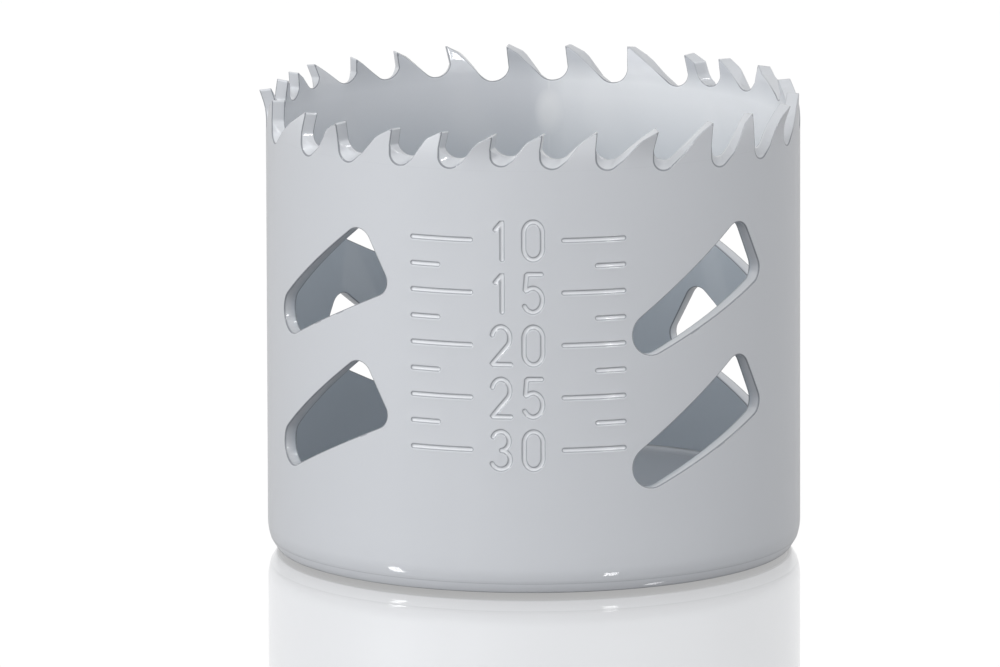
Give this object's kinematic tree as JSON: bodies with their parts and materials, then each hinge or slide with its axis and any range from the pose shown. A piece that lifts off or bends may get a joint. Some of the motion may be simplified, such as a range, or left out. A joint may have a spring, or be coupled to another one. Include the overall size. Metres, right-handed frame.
{
  "type": "hole saw",
  "caption": "Hole saw: steel cup with a set, variable-pitch toothed rim, two rows of slanted chip slots, and a thick base bored for a threaded arbor and drive pins.",
  "frame": {"origin": "centre of the drive pin circle, on the axis, in the plane of the base's lower face", "axes": "+Z along the saw's axis from the base to the teeth; the four columns of chip slots stand on +X, +Y, -X and -Y"},
  "size_m": [0.0507, 0.0515, 0.0438],
  "materials": {
    "wall_enamel": "glossy light grey enamel over spring steel strip",
    "tip_enamel": "glossy light grey enamel over high speed steel",
    "cap_enamel": "glossy light grey enamel over mild steel"
  },
  "bodies": {
    "root": {"cup_wall": "wall_enamel", "tooth_tips": "tip_enamel", "base_cap": "cap_enamel"}
  },
  "joints": []
}
